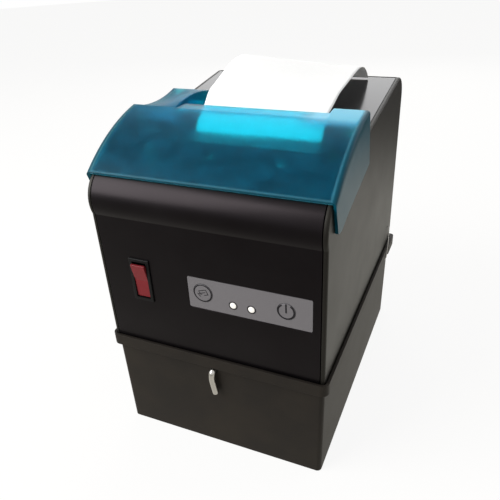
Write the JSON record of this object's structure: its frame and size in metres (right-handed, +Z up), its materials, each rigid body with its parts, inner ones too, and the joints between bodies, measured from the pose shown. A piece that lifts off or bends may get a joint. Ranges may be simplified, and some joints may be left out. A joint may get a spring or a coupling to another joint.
{
  "type": "fiscal receipt printer",
  "caption": "Countertop fiscal receipt printer with a hinged blue front cover, hinged paper lid, release lever, mains rocker and a latched base module.",
  "frame": {"origin": "centre of the underside of the base, on the surface that it stands on", "axes": "+Z up, -Y towards the front with the keys, +X towards the right hand side seen from the front"},
  "size_m": [0.1514, 0.2018, 0.2329],
  "materials": {
    "casing_black": "fine grained, slightly glossy",
    "panel_black": "satin, smooth",
    "base_charcoal": "fine grained, matt",
    "cover_blue": "translucent tinted, smooth",
    "label_grey": "printed film, matt",
    "key_dark": "moulded, matt",
    "key_light": "moulded, matt",
    "lamp_white": "frosted lens",
    "rocker_red": "translucent red, smooth",
    "switch_black": "moulded, satin",
    "paper_white": "coated paper, smooth",
    "core_card": "pressed card",
    "bright_steel": "polished",
    "plain_steel": "rolled sheet",
    "sink_aluminium": "extruded",
    "bush_brass": "sintered",
    "roller_rubber": "ground",
    "pad_rubber": "moulded",
    "gear_white": "moulded",
    "inner_black": "moulded",
    "board_green": "solder mask",
    "port_steel": "plated",
    "ceramic_head": "glazed"
  },
  "bodies": {
    "casing": {"base_box": "base_charcoal", "rubber_feet": "pad_rubber", "port_panel": "port_steel", "power_inlet": "switch_black", "serial_port": "port_steel", "usb_port": "port_steel", "drawer_port": "switch_black", "fiscal_board": "board_green", "fiscal_memory_block": "inner_black", "backup_battery": "bright_steel", "board_screws": "plain_steel", "base_screws": "plain_steel", "latch_bush": "switch_black", "seal_wire": "bright_steel", "chassis_tray": "inner_black", "upper_case": "casing_black", "front_panel": "panel_black", "panel_label": "label_grey", "status_lights": "lamp_white", "panel_board": "board_green", "tact_switches": "switch_black", "switch_housing": "switch_black", "case_screws": "plain_steel", "lid_hinge_pin": "bright_steel", "lever_pin": "bright_steel", "lever_spring": "plain_steel", "mech_frame": "plain_steel", "print_head": "ceramic_head", "head_heatsink": "sink_aluminium", "head_springs": "plain_steel", "platen_bushes": "bush_brass", "idler_stud": "bright_steel", "feed_motor": "plain_steel", "cutter_frame": "plain_steel", "fixed_blade": "bright_steel", "cutter_motor": "plain_steel", "paper_bucket": "inner_black", "paper_web": "paper_white", "paper_sensor": "switch_black", "printer_board": "board_green", "printer_board_posts": "inner_black"},
    "cover": {"front_cover": "cover_blue"},
    "lid": {"paper_lid": "panel_black", "paper_tail": "paper_white"},
    "lever": {"release_lever": "cover_blue"},
    "rocker": {"power_rocker": "rocker_red"},
    "feed_key": {"feed_button": "key_dark"},
    "power_key": {"power_button": "key_dark"},
    "latch": {"latch_lever": "bright_steel", "latch_cam": "plain_steel"},
    "platen": {"platen_shaft": "bright_steel", "platen_rubber": "roller_rubber", "platen_gear": "gear_white"},
    "idler": {"idler_gear": "gear_white"},
    "motor_rotor": {"motor_pinion": "bush_brass"},
    "roll": {"paper_roll": "paper_white", "paper_core": "core_card"},
    "blade": {"moving_blade": "bright_steel"},
    "cutter_drive": {"cutter_pinion": "gear_white"}
  },
  "joints": [
    {"name": "cover_hinge", "type": "hinge", "parent": "casing", "child": "cover", "pos_m": [0, -0.0795, 0.1715], "axis": [1, 0, 0], "range_deg": [0, 75]},
    {"name": "lid_hinge", "type": "hinge", "parent": "casing", "child": "lid", "pos_m": [0, 0.079, 0.20787], "axis": [-1, 0, 0], "range_deg": [0, 84]},
    {"name": "lever_hinge", "type": "hinge", "parent": "casing", "child": "lever", "pos_m": [-0.057, 0.006, 0.1975], "axis": [-1, 0, 0], "range_deg": [0, 8], "stiffness_Nm_per_rad": 0.06, "springref_deg": -20.05},
    {"name": "rocker_tilt", "type": "hinge", "parent": "casing", "child": "rocker", "pos_m": [-0.044, -0.0955, 0.1235], "axis": [-1, 0, 0], "range_deg": [0, 14.4]},
    {"name": "feed_press", "type": "slide", "parent": "casing", "child": "feed_key", "axis": [0, 1, 0], "range_m": [0, 0.0006], "stiffness_N_per_m": 300, "springref_m": -0.001},
    {"name": "power_press", "type": "slide", "parent": "casing", "child": "power_key", "axis": [0, 1, 0], "range_m": [0, 0.0006], "stiffness_N_per_m": 300, "springref_m": -0.001},
    {"name": "latch_turn", "type": "hinge", "parent": "casing", "child": "latch", "pos_m": [-0.0001, -0.0965, 0.0648], "axis": [0, -1, 0], "range_deg": [0, 85]},
    {"name": "roll_spin", "type": "hinge", "parent": "casing", "child": "roll", "pos_m": [0.01125, 0.03, 0.1545], "axis": [1, 0, 0], "continuous": true},
    {"name": "platen_spin", "type": "hinge", "parent": "casing", "child": "platen", "pos_m": [0.01125, -0.036, 0.1885], "axis": [1, 0, 0], "continuous": true},
    {"name": "idler_spin", "type": "hinge", "parent": "casing", "child": "idler", "pos_m": [-0.0412, -0.036, 0.1677], "axis": [1, 0, 0], "continuous": true},
    {"name": "motor_spin", "type": "hinge", "parent": "casing", "child": "motor_rotor", "pos_m": [-0.0412, -0.0452, 0.15177], "axis": [1, 0, 0], "continuous": true},
    {"name": "blade_slide", "type": "slide", "parent": "casing", "child": "blade", "axis": [0, 1, 0], "range_m": [0, 0.005]},
    {"name": "cutter_spin", "type": "hinge", "parent": "casing", "child": "cutter_drive", "pos_m": [-0.0522, -0.052, 0.1945], "axis": [0, 0, 1], "range_deg": [0, 60]}
  ],
  "couplings": [
    {"joint": "platen_spin", "follows": "roll_spin", "ratio": 5.3893},
    {"joint": "idler_spin", "follows": "roll_spin", "ratio": -3.3683},
    {"joint": "motor_spin", "follows": "roll_spin", "ratio": 7.6989},
    {"joint": "cutter_spin", "follows": "blade_slide", "rad_per_m": 208.33}
  ]
}
